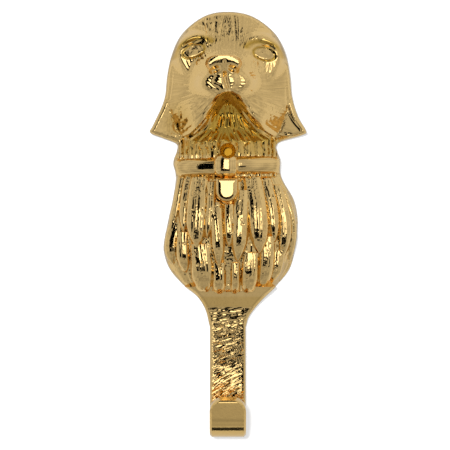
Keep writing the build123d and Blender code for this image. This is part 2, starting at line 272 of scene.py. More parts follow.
def carveThroat(x, z, turn):
    s, cord = throatShape, throatShape["cords"]
    floor = s["floor"] - s["lean"] * (z - s["z"]) + s["chin"]["rise"] * ease(*s["chin"]["z"], z)
    (rootX, rootZ), (tipX, tipZ) = cord["root"], cord["tip"]
    down = clamp((rootZ - z) / (rootZ - tipZ))
    half = cord["girth"] / 2 * (0.5 + 0.5 * np.sin(np.pi * clamp(down * cord["taper"])))
    cords = np.zeros_like(x)
    for side in (-1, 0, 1):
        middle = headShape["muzzle"]["x"] + side * (rootX + (tipX - rootX) * down)
        cords = np.maximum(cords, cord["stand"] * arch((x - middle) / half))
    hair = s["hair"]["depth"] * strands(turn * s["hair"]["pitch"], 3)
    return floor + (cords * ease(*cord["start"], down) + hair)


def carveLips(x, z, h):
    s = throatShape
    roll, ripple, crease = s["roll"], s["ripples"], s["creases"]
    under = insideDistance(x, z, lipLoop())
    turn = np.arctan2(x - s["fan"][0], s["fan"][1] - z)
    h = h + roll["rise"] * ridge(under + roll["off"], roll["wide"]) * ease(*roll["z"], z)
    fall = ease(*s["fall"], under)
    folds = ripple["depth"] * np.sin(under * ripple["pitch"] + ripple["start"])
    folds = folds * ease(*ripple["near"], under) * ease(*ripple["far"], under)
    folds += crease["depth"] * fall * (1 - fall) * strands(turn * crease["pitch"], 4)
    hollow = h * (1 - fall) + np.minimum(h, carveThroat(x, z, turn)) * fall + folds
    return np.where(under > s["fall"][0], hollow, h) - scored(x, z, **s["cleft"])


# whisker pads, with wavy rows across them
whiskerShape = {
    "pads": [dict(x=-6.4, z=25.5, tilt=-0.55, turn=-0.04), dict(x=5.0, z=25.9, tilt=0.06, turn=0.0)],
    "spread": (4.9, 4.0), "edge": 1.6, "stand": 0.1, "rise": 0.06,
    "rows": dict(depth=0.05, pitch=5.2, wave=0.8, wavePitch=1.3),
}


def carvePads(x, z, h):
    s, rows = whiskerShape, whiskerShape["rows"]
    for p in s["pads"]:
        dx, dz = x - p["x"], z - p["z"]
        mask = np.exp(-oval(dx, dz, s["spread"]) ** s["edge"])
        front = headBase(np.array(p["x"]), np.array(p["z"])) + s["stand"] - p["turn"] * dx + s["rise"] * dz
        q = turnedBy(dx, dz, p["tilt"])[1]
        lines = np.sin(q * rows["pitch"] + rows["wave"] * np.sin(dx * rows["wavePitch"]))
        h = h * (1 - mask) + np.maximum(front, h) * mask + mask * rows["depth"] * lines
    return h


# the nose leather, its nostrils and grooves
noseShape = {
    "centre": (-1.6, 31.8), "halfWidth": 7.0, "halfHeight": 4.6, "front": 25.4, "crest": (3.3, 18.0),
    "bow": (260.0, 9.0, 22.0), "tip": 0.06, "stand": 0.2, "edge": (1, 0.78), "corner": 3,
    "narrow": dict(by=2.4, z=(1.5, -4), least=1.5),
    "nostrils": [(-4.8, 30.6, 0.35), (1.8, 30.9, -0.35)],  # x, z, turn
    "nostrilCut": dict(depth=1.7, half=(1.9, 1.15), edge=1.4),
    "septum": dict(x=-1.2, z=29.2, rise=0.8, spread=(0.8, 0.8)),
    "groove": dict(points=[(-1.2, 33.7), (-1.2, 28.7)], depth=0.35, wide=0.5, start=(-1, 0)),
}


def carveNose(x, z, h):
    s, narrow, cut = noseShape, noseShape["narrow"], noseShape["nostrilCut"]
    u, v = x - s["centre"][0], z - s["centre"][1]
    half = np.maximum(s["halfWidth"] - narrow["by"] * ease(*narrow["z"], v), narrow["least"])
    reach = (np.abs(u) / half) ** s["corner"] + (np.abs(v) / s["halfHeight"]) ** s["corner"]
    mask = ease(*s["edge"], np.sqrt(reach))
    side, above, below = s["bow"]
    over = v - s["crest"][0] + u * u / s["crest"][1]
    leather = s["front"] - over ** 2 / np.where(over > 0, above, below)
    leather = leather + s["tip"] * np.minimum(over, 0) - u * u / side
    h = h * (1 - mask) + np.maximum(h + s["stand"], leather) * mask
    for nx, nz, turn in s["nostrils"]:
        a, b = turnedBy(x - nx, z - nz, turn)
        h = h - cut["depth"] * np.exp(-oval(a, b, cut["half"]) ** cut["edge"])
    return h - mound(x, z, s["septum"]) - scored(x, z, **s["groove"])


# the eyes, each on a flat that faces more to the front than the skull round it
eyeShape = [
    dict(centre=(-13.2, 38.4), slant=22, turn=0.02, socket=(7.2, 6.8), ball=(3.9, 2.2),
         brow=[(-19.8, 35.3), (-18.6, 39.6), (-15.9, 42.5), (-12.0, 44.0), (-8.5, 42.7), (-6.2, 40.0)],
         lashes=(4.9, 2.4, 6.2)),
    dict(centre=(14.1, 37.4), slant=-14, turn=0.07, socket=(7.2, 6.8), ball=(3.8, 2.3),
         brow=[(5.5, 39.2), (8.3, 42.3), (12.6, 44.5), (16.5, 43.5), (19.2, 40.0), (20.4, 34.5)],
         lashes=(4.6, 3.2, 7.6)),
]
eyeCut = {
    "lift": 0.07, "sink": -1.0, "upper": (-0.6, 0.8),
    "hollow": dict(low=0.4, edge=(1.3, 0.0), deepest=-1.2),
    "cheek": dict(low=1.4, longer=0.9, edge=(1.35, 0.75)),
    "hood": dict(depth=0.9, above=1.4, spread=(4.4, 1.0)),  # the hollow under the brow
    "ball": dict(over=1.1, stand=0.15, upturn=0.26, edge=(0, 0.35)),
    "arcs": dict(depth=0.075, pitch=1.9, near=(-0.4, 0.1), far=(3.6, 2.6), shares=(0.3, 0.7)),
    "crease": dict(depth=0.2, at=0.3, wide=0.35),
    "iris": dict(depth=0.08, x=0.15, radius=1.25, wide=0.3),
    "lash": dict(depth=0.06, pitch=1.5, sides=(0.8, -0.4), top=(0.4, -0.4), tips=1.2, lean=0.5, stray=1.5,
                 grain=(0.7, 0.4, 41)),
    "brow": (0.5, 1.7, 0.12),  # rise, width, fading ends
}


def eyeAxes(x, z, e):  # along the lids, across them, and out from the edge of the eyeball
    cx, cz = e["centre"]
    u, v = turnedBy(x - cx, z - cz, math.radians(e["slant"]))
    ballX, ballZ = e["ball"]
    return u, v, np.hypot(u * ballZ / ballX, v) - ballZ


def lidCrease(ring):
    return ridge(ring - eyeCut["crease"]["at"], eyeCut["crease"]["wide"])


def carveSocket(x, z, h, e):
    hollow, cheek = eyeCut["hollow"], eyeCut["cheek"]
    cx, cz = e["centre"]
    u, v = eyeAxes(x, z, e)[:2]
    flat = headBase(np.array(cx), np.array(cz)) - eyeCut["sink"]
    flat = flat - e["turn"] * (x - cx) * math.copysign(1, cx) - eyeCut["lift"] * (z - cz)
    wide, high = e["socket"]
    sunk = ease(*hollow["edge"], np.hypot(u / wide, (v + hollow["low"]) / high))
    raised = ease(*cheek["edge"], np.hypot(u / wide, (v + cheek["low"]) / (high + cheek["longer"])))
    return h + raised * np.maximum(flat - h, 0) + sunk * np.clip(flat - h, hollow["deepest"], 0)


def carveEye(x, z, h, e):
    h = carveSocket(x, z, h, e)
    hood, orb, arc, iris, lash = (eyeCut[name] for name in ("hood", "ball", "arcs", "iris", "lash"))
    u, v, ring = eyeAxes(x, z, e)
    ballX, ballZ = e["ball"]
    h = h - hood["depth"] * bump(u, v - ballZ - hood["above"], hood["spread"])
    ball = clamp(1 - (u / (orb["over"] * ballX)) ** 2 - (v / (orb["over"] * ballZ)) ** 2)
    h = h + (orb["stand"] * ball - orb["upturn"] * (z - e["centre"][1]) * ease(*orb["edge"], ball))
    upper = ease(*eyeCut["upper"], v)
    arcs = np.sin(2 * math.pi * ring / arc["pitch"]) * ease(*arc["near"], ring)
    arcs = arcs * ease(*arc["far"], ring)
    h = h + arc["depth"] * arcs * (arc["shares"][0] + arc["shares"][1] * upper)
    h = h - eyeCut["crease"]["depth"] * lidCrease(ring) * (1 - upper)
    h = h - iris["depth"] * ridge(np.hypot(u - iris["x"], v) - iris["radius"], iris["wide"]) * upper
    wide, near, far = e["lashes"]
    mask = ease(wide + lash["sides"][0], wide + lash["sides"][1], np.abs(u))
    mask = mask * ease(-near + lash["top"][0], -near + lash["top"][1], v)
    mask = mask * ease(-far, -far + lash["tips"], v)
    stray = lash["stray"] * grain(u, v, *lash["grain"])
    h = h + lash["depth"] * mask * np.sin(u * 2 * math.pi / lash["pitch"] + lash["lean"] * v + stray)
    away, share = nearCurve(x, z, e["brow"])
    rise, wide, ends = eyeCut["brow"]
    return h + rise * ridge(away, wide) * ease(0, ends, share) * ease(0, ends, 1 - share)


def carveHead(x, z, inside):
    h = carveHair(x, z, headBase(x, z))
    h = carveEars(x, z, h, inside)
    h = carveEarFolds(x, z, carveLips(x, z, h))
    h = carveNose(x, z, carvePads(x, z, h))
    for e in eyeShape:
        h = carveEye(x, z, h, e)
    return h


# the ribbed neck, rolled collar, knot and bare tag
neckShape = {
    "halfWidth": 19.6, "rim": 2.6, "depth": 5.4, "top": 9.0, "bottom": -10.0, "flare": 2.6, "flareZ": (6, -3),
    "ribs": dict(count=17, stand=0.6, sink=0.2, stray=0.8, grain=(0.4, 0.5, 51)),
    "hair": dict(depth=0.2, pitch=23),
}


def carveNeck(x, z):
    s, ribs, hair = neckShape, neckShape["ribs"], neckShape["hair"]
    across = np.clip(x / s["halfWidth"], -1, 1)
    turn = np.arcsin(across)
    h = s["rim"] + s["depth"] * arch(across)
    h += s["flare"] * ease(*s["flareZ"], z)
    wave = np.abs(np.sin(turn * ribs["count"] + ribs["stray"] * grain(x, z, *ribs["grain"])))
    h += ribs["stand"] * wave - ribs["sink"] + hair["depth"] * strands(turn * hair["pitch"], 5)
    return np.where((z < s["top"]) & (z > s["bottom"]), h, 0)


collarShape = {"halfWidth": 21.4, "depth": 13.6, "end": 5.0, "z": -5.9, "halfHeight": 3.5, "roll": 3.2,
               "rightRise": 0.45, "riseOver": 6}


def carveCollar(x, z):
    s = collarShape
    band = s["end"] + (s["depth"] - s["end"]) * arch(x / s["halfWidth"])
    middle = s["z"] + s["rightRise"] * np.tanh(x / s["riseOver"])
    swell = arch((z - middle) / s["halfHeight"])
    return np.where(swell > 0, band - s["roll"] + s["roll"] * swell, 0)


knotShape = {"x": -0.7, "z": -5.7, "half": (4.7, 4.9), "corner": (2.6, 3), "back": 12.2, "front": 15.6}


def carveKnot(x, z):
    s = knotShape
    across = (np.abs(x - s["x"]) / s["half"][0]) ** s["corner"][0]
    along = (np.abs(z - s["z"]) / s["half"][1]) ** s["corner"][1]
    swell = clamp(1 - across - along)
    return np.where(swell > 0, s["back"] + (s["front"] - s["back"]) * np.sqrt(swell), 0)


tagShape = {"x": -0.4, "top": -10.5, "low": -15.6, "half": 4.4, "back": 14.6, "front": 17.0, "bevel": 1.3,
            "dish": (0.8, 0.15)}  # the face falls away a little before its edge: how wide, how steep


def carveTag(x, z):
    s = tagShape
    reach = np.where(z < s["low"], np.hypot(x - s["x"], z - s["low"]), np.abs(x - s["x"]))
    inside = np.minimum(s["half"] - reach, s["top"] - z)
    share = 1 - clamp(inside / s["bevel"])
    wide, slope = s["dish"]
    h = s["back"] + (s["front"] - s["back"]) * arch(share)
    h = h - slope * np.clip(s["bevel"] + wide - inside, 0, wide)
    return np.where(inside > 0, h, 0)


# the chest, with two tiers of locks over it
chestShape = {
    "top": -8.0, "bottom": -57.0, "overlap": 1, "waist": 19.8, "foot": 13.0, "taper": 3,
    "left": (24.8, 1.25), "right": (26.8, 0.75), "full": 0.8,  # half width, and how high that side is fullest
    "rim": 3.4, "shoulder": 6, "rise": 12.0, "riseAt": 0.9, "round": 0.55, "footDepth": 5, "footRun": 3.5,
    "strandPitch": 23.0, "strandCrown": 0.25, "sunk": 0.5, "lean": (0.22, 0.06),
    # root x, root z, tip x, tip z, girth, stand, bend
    "upper": [
        (-17.9, -9.9, -22.2, -31.4, 3.6, 1.3, 0.0), (-15.1, -9.9, -17.1, -31.4, 3.6, 1.5, -0.6),
        (-10.5, -9.9, -12.0, -37.2, 7.6, 2.1, -0.6), (-6.2, -11.9, -8.1, -33.7, 3.6, 1.7, 0.4),
        (-4.6, -19.7, -3.4, -44.7, 4.8, 2.0, 0.0), (0.5, -20.5, 0.5, -36.9, 3.9, 1.1, 0.0),
        (5.1, -15.0, 3.8, -42.7, 6.0, 2.1, 0.3), (9.4, -9.9, 12.2, -39.6, 7.4, 2.1, 0.6),
        (14.5, -10.3, 18.0, -35.3, 4.4, 1.5, 0.8), (18.4, -13.1, 20.4, -43.1, 4.6, 1.7, 2.6),
        (21.4, -15.8, 24.0, -43.1, 3.6, 1.2, 2.2),
    ],
    "lower": [
        (-20.2, -27.5, -21.4, -43.9, 5.2, 1.5, -1.4), (-17.1, -31.4, -16.3, -47.0, 4.6, 1.6, -0.8),
        (-10.5, -36.1, -9.3, -55.6, 7.8, 2.0, 0.0), (-3.4, -43.1, -3.4, -56.2, 4.8, 1.8, 0.0),
        (3.0, -43.1, 2.8, -56.2, 3.4, 1.5, 0.0), (9.0, -39.2, 7.9, -56.0, 6.0, 1.9, 0.0),
        (15.3, -33.0, 13.3, -54.0, 5.4, 1.8, 0.6), (20.0, -38.4, 17.2, -51.0, 4.4, 1.5, 0.4),
    ],
    "rootLift": {"upper": 0.45, "lower": 0.15}, "lift": 1.1, "liftAt": 1.3,
    "lock": dict(fat=0.6, half=0.56, root=(0.85, 0.15), point=0.65, flat=3, least=0.001),
    "hair": dict(pitch=1.55, depth=0.15, middle=0.6, shares=(0.7, 0.6), grain=(0.5, 0.2, 73),
                 edge=(0.02, 0.4), sway=0.25, swayPitch=5, step=0.37),
    "pits": dict(depth=0.3, edge=(0.6, 0.95), grain=(1.1, 0.7, 71)),
    "skin": dict(depth=0.04, grain=(2.2, 2.2, 72)),
}


def chestBase(x, z):
    s = chestShape
    along = clamp((s["top"] - z) / (s["top"] - s["bottom"]))
    ends = s["waist"] + (s["foot"] - s["waist"]) * along ** s["taper"]
    left, right = (ends + (half - ends) * np.sin(np.pi * along ** at) ** s["full"]
                   for half, at in (s["left"], s["right"]))
    across = np.where(x < 0, x / left, x / right)
    swell = s["shoulder"] + (s["rise"] - s["shoulder"]) * clamp(np.sin(np.pi * along ** s["riseAt"]))
    base = s["rim"] + swell * clamp(1 - across ** 2) ** s["round"]
    foot = s["footDepth"]
    return foot + (base - foot) * ease(s["bottom"], s["bottom"] + s["footRun"], z), across


def lockHalf(t, girth):  # half a lock's width, from its root to its point
    lock = chestShape["lock"]
    fat, (narrow, more) = lock["fat"], lock["root"]
    late = clamp((t - fat) / (1 - fat))
    early = narrow + more * np.sin(0.5 * np.pi * np.minimum(t / fat, 1))
    return lock["half"] * girth * np.where(t < fat, early, np.cos(0.5 * np.pi * late) ** lock["point"])


def carveChest(x, z):
    s = chestShape
    strand, pits, skin = s["hair"], s["pits"], s["skin"]
    base, across = chestBase(x, z)
    h = base - s["sunk"] + s["strandCrown"] * strands(across * s["strandPitch"], 11)
    lean = np.where(x < 0, *s["lean"])
    uneven = strand["shares"][0] + strand["shares"][1] * grain(x, z, *strand["grain"])
    for tier in ("upper", "lower"):
        low = s["rootLift"][tier]
        for rootX, rootZ, tipX, tipZ, girth, stand, bend in s[tier]:
            t = (rootZ - z) / (rootZ - tipZ)
            inside = (t > 0) & (t < 1)
            t = clamp(t)
            middle = rootX + (tipX - rootX) * t + bend * np.sin(np.pi * t)
            w = (x - middle) / np.maximum(lockHalf(t, girth), s["lock"]["least"])
            crown = np.where(inside, clamp(1 - np.abs(w) ** s["lock"]["flat"]), 0)
            own = chestBase(middle, z)[0]  # a lock faces forward, whatever the chest does beside it
            own = own + lean * (base - own)
            sway = strand["sway"] * np.sin(t * strand["swayPitch"] + rootX)
            comb = (x - middle) / strand["pitch"] + sway + rootX * strand["step"]
            hair = strand["depth"] * (np.abs(np.sin(np.pi * comb)) - strand["middle"]) * uneven
            hair = hair * ease(*strand["edge"], crown)
            lift = stand * (low + (s["lift"] - low) * np.sin(np.pi * t ** s["liftAt"])) + s["sunk"]
            h = np.where(crown > 0, np.maximum(h, own - s["sunk"] + lift * np.sqrt(crown) + hair), h)
    cast = pits["depth"] * ease(*pits["edge"], grain(x, z, *pits["grain"]))
    h -= cast + skin["depth"] * grain(x, z, *skin["grain"])
    return np.where(z < s["top"] + s["overlap"], h, 0)


# the plain land below the chest, which runs into the strap
landShape = {
    "top": -56.6, "knee": -60.4, "bottom": -67.2, "depths": (7.8, 5.7, 4.5), "overlap": 4,
    "marks": 0.1, "roughRun": 1.2, "roughHalf": (11, 6), "roughTaper": 0.5,
    "wave": 0.15, "waveGrain": (0.5, 0.5, 26), "slant": 0.16, "slantGrain": (0.6, 2.0, 24),
    "cross": 0.5, "crossGrain": (1.1, 1.8, 25),
}


def carveLand(x, z):
    s = landShape
    high, middle, low = s["depths"]
    knee = s["knee"]
    h = middle + (high - middle) * np.clip((z - knee) / (s["top"] - knee), 0, 2)
    h -= (middle - low) * clamp((knee - z) / (knee - s["bottom"]))
    rough = ease(knee, knee - s["roughRun"], z)
    rough = rough * ease(*s["roughHalf"], np.abs(x) + (z - knee) * s["roughTaper"])
    h += s["wave"] * s["marks"] * grain(x, z, *s["waveGrain"])
    marks = grain(x, z - s["slant"] * x, *s["slantGrain"]) + s["cross"] * grain(x, z, *s["crossGrain"])
    return h + s["marks"] * rough * marks


edgeRound = {"wide": 1.6, "drop": 1.7}


def carveFront(x, z, inside):
    h = np.maximum(carveNeck(x, z), carveChest(x, z))
    h = np.maximum(h, np.where(z > headShape["foot"], carveHead(x, z, inside), 0))
    for carve in (carveCollar, carveKnot, carveTag):
        h = np.maximum(h, carve(x, z))
    top = landShape["top"]
    h = np.where(z < top + landShape["overlap"], np.maximum(np.where(z > top, h, 0), carveLand(x, z)), h)
    edge = clamp(inside / edgeRound["wide"])
    return h - edgeRound["drop"] * (1 - arch(1 - edge))


# the casting's outline, down the right side and up the left, seen from the front
outline = {
    "right": [(0, 54.4), (9.4, 52.7), (17.8, 46.6), (22.3, 38.8), (24.2, 30.2), (25.2, 20.9), (27.4, 13.5),
              (30.4, 8.0), (29.3, 6.4), (20.8, 3.9), (19.0, 2.1), (19.2, 0.2), (20.4, -3.5), (20.4, -8.0),
              (21.7, -11.9), (25.8, -18.9), (27.3, -26.7), (26.6, -36.1), (24.3, -45.4), (19.2, -52.1),
              (13.0, -58.3), (8.4, -64.2), (6.9, -68.6), (4.5, -72.5)],
    "left": [(-4.5, -72.5), (-6.9, -68.6), (-8.7, -61.8), (-12.0, -56.4), (-17.9, -51.5), (-22.9, -45.4),
             (-25.0, -38.4), (-23.7, -29.1), (-21.4, -18.9), (-20.3, -9.6), (-21.3, -4.5), (-19.9, 0.2),
             (-20.2, 3.0), (-25.7, 5.3), (-30.2, 7.2), (-29.2, 9.9), (-26.0, 16.8), (-24.4, 22.0),
             (-23.5, 30.2), (-21.4, 38.8), (-17.1, 46.6), (-8.9, 52.8)],
    "step": 0.275, "leastSlope": 0.2,
}


def frontMesh():
    step = outline["step"]
    loop = throughPoints(outline["right"] + outline["left"], closed=True)
    xs = np.arange(loop[:, 0].min() - step, loop[:, 0].max() + step, step)
    zs = np.arange(loop[:, 1].min() - step, loop[:, 1].max() + step, step)
    x, z = np.meshgrid(xs, zs)
    inside = insideDistance(x, z, loop)
    kept = (inside[:-1, :-1] + inside[1:, :-1] + inside[:-1, 1:] + inside[1:, 1:]) / 4 > 0
    touched = np.zeros(x.shape, int)
    for dj in (0, 1):
        for di in (0, 1):
            touched[dj:dj + kept.shape[0], di:di + kept.shape[1]] += kept
    rim = (touched > 0) & (touched < 4)
    slopeZ, slopeX = np.gradient(inside, step)
    size = np.maximum(np.hypot(slopeX, slopeZ), outline["leastSlope"])
    for _ in range(2):  # the rim's points go onto the outline itself
        x = np.where(rim, x - inside * slopeX / size, x)
        z = np.where(rim, z - inside * slopeZ / size, z)
        inside = np.where(rim, insideDistance(x, z, loop), inside)
    h = carveFront(x, z, np.maximum(inside, 0))
    order = np.full(x.shape, -1)
    used = touched > 0
    order[used] = np.arange(used.sum())
    points = np.stack([x[used], -h[used], z[used]], 1)
    j, i = np.nonzero(kept)
    faces = np.stack([order[j, i], order[j, i + 1], order[j + 1, i + 1], order[j + 1, i]], 1)
    return points, faces


# making pieces

def intoScene(name, data):
    obj = bpy.data.objects.new(name, data)
    bpy.context.scene.collection.objects.link(obj)
    return obj


def newPiece(name, points, faces):
    mesh = bpy.data.meshes.new(name)
    mesh.from_pydata(points, [], faces)
    return intoScene(name, mesh)


def solidPiece(name, points, faces):  # with its faces turned outward
    piece = newPiece(name, points, faces)
    bm = bmesh.new()
    bm.from_mesh(piece.data)
    bmesh.ops.recalc_face_normals(bm, faces=bm.faces[:])
    bm.to_mesh(piece.data)
    bm.free()
    return piece


def tube(name, rings):  # rings of points, joined up and closed at both ends
    n, last = len(rings[0]), len(rings) - 1
    faces = [(k * n + m, k * n + (m + 1) % n, (k + 1) * n + (m + 1) % n, (k + 1) * n + m)
             for k in range(last) for m in range(n)]
    faces += [tuple(range(n - 1, -1, -1)), tuple(range(last * n, last * n + n))]
    return solidPiece(name, np.vstack(rings), faces)


def turns(sides):
    return [2 * math.pi * k / sides for k in range(sides)]


def latheTool(name, profile, middleZ, sides=96):  # a turned cutter about the line x = 0, z = middleZ
    return tube(name, [[(radius * mm * math.cos(a), y * mm, (middleZ + radius * math.sin(a)) * mm)
                        for a in turns(sides)] for radius, y in profile])


def combine(body, tool, operation):
    change = body.modifiers.new("combine", "BOOLEAN")
    change.object, change.operation, change.solver = tool, operation, "MANIFOLD"
    bpy.context.view_layer.update()
    made = bpy.data.meshes.new_from_object(body.evaluated_get(bpy.context.evaluated_depsgraph_get()))
    body.modifiers.clear()
    body.data = made
    bpy.data.objects.remove(tool)


def castBody():  # the carved front, its sides and a flat back
    points, faces = frontMesh()
    edges = {(a, b): True for f in faces for a, b in zip(f, np.roll(f, -1))}
    border = {a: b for a, b in edges if (b, a) not in edges}
    rim = [next(iter(border))]
    while border[rim[-1]] != rim[0]:
        rim.append(border[rim[-1]])
    back = points[rim] * (1, 0, 1)
    first, count = len(points), len(rim)
    sides = [(rim[k - 1], first + (k - 1) % count, first + k, rim[k]) for k in range(count)]
    faces = faces.tolist() + sides + [tuple(range(first + count - 1, first - 1, -1))]
    return solidPiece("castBody", np.vstack([points, back]) * mm, faces), count


# the flat strap, filed in front and bent up into the hook
strapShape = {
    "width": 13.9, "thick": 4.8, "bevel": 0.8, "start": -60.0, "bottom": -110.55, "gap": 13.0, "tip": -95.0,
    "lean": 18.0, "tipCorner": 5.0, "tipRound": 0.7, "tipRun": 2.4, "tipStations": 12,
    "station": 0.2, "bendStation": 0.6, "across": 0.36, "around": 0.8, "faceSlack": 0.01,
}
fileShape = {
    "pitch": 0.8, "bite": 0.24, "tear": 0.09, "turn": (2, 24), "slant": (0.75, 0.45),
    "stray": (0.4, 0.15), "uneven": (0.75, 0.55), "down": 0.2, "up": 0.35, "torn": (1.5, 0.5),
    "wander": (0.3, 9, 0.6), "strayGrain": (1.1, 0.9, 22), "unevenGrain": (0.35, 0.8, 23),
    "tornGrain": (0.3, 2.0, 24),
}


def fileMarks(across, d, down):  # how deep the file has bitten at d along the strap
    s = fileShape
    at = np.full_like(across, d)
    near, far = s["turn"]
    stroke = ease(down - near, down - far, d)  # filed downwards, and upwards near the hook
    slant = at + (s["slant"][0] - s["slant"][1] * stroke) * across
    perX, shift, perZ = s["wander"]
    mark = slant / s["pitch"] + s["stray"][0] * patches(across * perX + shift, at * perZ, 21)
    tooth = (mark + s["stray"][1] * grain(across, at, *s["strayGrain"])) % 1
    marks = tooth * (s["uneven"][0] + s["uneven"][1] * grain(across, at, *s["unevenGrain"]))
    marks = stroke * (s["down"] + marks) + s["up"] * (1 - stroke) * (1 - tooth)
    torn = s["torn"][0] - s["torn"][1] * stroke
    return s["bite"] * marks + s["tear"] * torn * (1 + grain(across, slant, *s["tornGrain"]))


def barProfile():  # once round the bar: across, and out from its middle
    s = strapShape
    half, thick, b = s["width"] / 2, s["thick"], s["bevel"]
    corners = [(-half + b, -thick / 2), (half - b, -thick / 2), (half, -thick / 2 + b), (half, thick / 2 - b),
               (half - b, thick / 2), (-half + b, thick / 2), (-half, thick / 2 - b), (-half, -thick / 2 + b)]
    profile = []
    for k in range(len(corners)):
        a, c = np.array(corners[k]), np.array(corners[(k + 1) % len(corners)])
        n = max(2, int(np.hypot(*(c - a)) / (s["across"] if k == 0 else s["around"])))
        profile += [a + (c - a) * t for t in np.arange(n) / n]
    return np.array(profile)


def strapMesh():
    s = strapShape
    half, thick = s["width"] / 2, s["thick"]
    radius = (s["gap"] + thick) / 2
    bendZ = s["bottom"] + radius + thick / 2
    lean = math.radians(s["lean"])
    turned = math.pi - lean
    down, turn = s["start"] - bendZ, turned * radius
    up = (s["tip"] - bendZ + radius * math.sin(lean)) / math.cos(lean)  # the tip's straight run
    total = down + turn + up
    profile = barProfile()
    tipRoot = total - s["tipRun"]
    stations = np.concatenate([np.arange(0, down, s["station"]), np.arange(down, tipRoot, s["bendStation"]),
                               np.linspace(tipRoot, total, s["tipStations"])])
    rows = []
    for d in stations:
        fromTip = total - d
        r = s["tipCorner"]
        wide = 1 - (r - math.sqrt(max(r * r - max(r - fromTip, 0) ** 2, 0))) / half
        if d < down:
            centre, out = (-thick / 2, s["start"] - d), (-1.0, 0.0)
        else:
            a = min((d - down) / radius, turned)
            past = max(d - down - turn, 0)
            out = (-math.cos(a), math.sin(a))
            centre = (-thick / 2 - radius - radius * out[0] - past * math.sin(lean),
                      bendZ - radius * out[1] + past * math.cos(lean))
        across, deep = profile[:, 0] * wide, -profile[:, 1]
        deep = np.sign(deep) * np.minimum(np.abs(deep), thick / 2 - max(0, s["tipRound"] - fromTip))
        face = deep > thick / 2 - s["faceSlack"]
        face = face * ease(half, half - 2 * s["bevel"], np.abs(profile[:, 0]))
        deep = deep - face * fileMarks(across, d, down) * (d < down)
        rows.append(np.stack([across, centre[0] + out[0] * deep, centre[1] + out[1] * deep], 1))
    return tube("strap", np.array(rows) * mm)


body, rimCount = castBody()
print("front carved", len(body.data.polygons), "faces,", rimCount, "round the rim")
combine(body, strapMesh(), "UNION")
print("strap joined", len(body.data.polygons))

# the cored pockets behind, and the screw hole with its 90 degree seat
backShape = {
    "screwHole": 1.7, "screwMouth": 3.1, "seat": 3.6, "drillSides": 64, "behind": 1.0, "through": -30.0,
    "pockets": [dict(z=33.0, radius=12.0, depth=7.0), dict(z=-33.0, radius=13.0, depth=6.0)], "draft": 1.6,
    "crease": 40,  # degrees, above which an edge stays sharp
}
hole, mouth, seat, behind = (backShape[name] for name in ("screwHole", "screwMouth", "seat", "behind"))
for p in backShape["pockets"]:
    core = [(p["radius"], behind), (p["radius"], 0.0), (p["radius"] - backShape["draft"], -p["depth"])]
    combine(body, latheTool("pocket", core, p["z"]), "DIFFERENCE")
drill = [(hole, behind), (hole, -seat), (mouth, -seat - (mouth - hole)), (mouth, backShape["through"])]
combine(body, latheTool("screwDrill", drill, 0.0, backShape["drillSides"]), "DIFFERENCE")
body.name = "hookCasting"
print("back cored and drilled", len(body.data.polygons))

bm = bmesh.new()
bm.from_mesh(body.data)
openEdges = [e for e in bm.edges if not e.is_manifold]
print("open edges", len(openEdges), "triangles", sum(len(f.verts) - 2 for f in bm.faces))
bm.free()
body.data.polygons.foreach_set("use_smooth", [True] * len(body.data.polygons))
body.data.set_sharp_from_angle(angle=math.radians(backShape["crease"]))


# nodes, and the shader groups shared by the brass finishes

def addNode(tree, kind, feeds=None, **settings):  # feeds: a socket's value, or the socket that it comes from
    node = tree.nodes.new("ShaderNode" + kind)
    for name, value in settings.items():
        setattr(node, name, value)
    for name, value in (feeds or {}).items():
        if isinstance(value, bpy.types.NodeSocket):
            tree.links.new(value, node.inputs[name])
        else:
            node.inputs[name].default_value = value
    return node


def mathNode(tree, operation, *values):
    return addNode(tree, "Math", dict(enumerate(values)), operation=operation).outputs[0]


def newGroup(name, takes, gives):
    group = bpy.data.node_groups.new(name, "ShaderNodeTree")
    for label, kind in takes.items():
        group.interface.new_socket(label, in_out="INPUT", socket_type="NodeSocket" + kind)
    for label, kind in gives.items():
        group.interface.new_socket(label, in_out="OUTPUT", socket_type="NodeSocket" + kind)
    return group, group.nodes.new("NodeGroupInput").outputs, group.nodes.new("NodeGroupOutput").inputs


castSkin = {"detail": 4, "pitEdge": 0.3}


def castGrainGroup():  # the skin left by the sand mould
    takes = {"Place": "Vector", "Size": "Float", "Pits": "Float"}
    group, given, made = newGroup("castGrain", takes, {"Height": "Float"})
    feeds = {"Vector": given["Place"], "Scale": given["Size"]}
    fine = addNode(group, "TexNoise", {**feeds, "Detail": castSkin["detail"]})
    pit = addNode(group, "TexVoronoi", feeds)
    edge = addNode(group, "MapRange", {"Value": pit.outputs["Distance"], "From Max": castSkin["pitEdge"],
                                       "To Min": -1, "To Max": 0})
    height = mathNode(group, "MULTIPLY_ADD", edge.outputs["Result"], given["Pits"], fine.outputs["Fac"])
    group.links.new(height, made["Height"])
    return group


buffing = {"stretch": (1400, 1400, 320), "lineDetail": 2, "cloud": 130, "cloudDetail": 3,
           "level": (0.12, 0.42)}


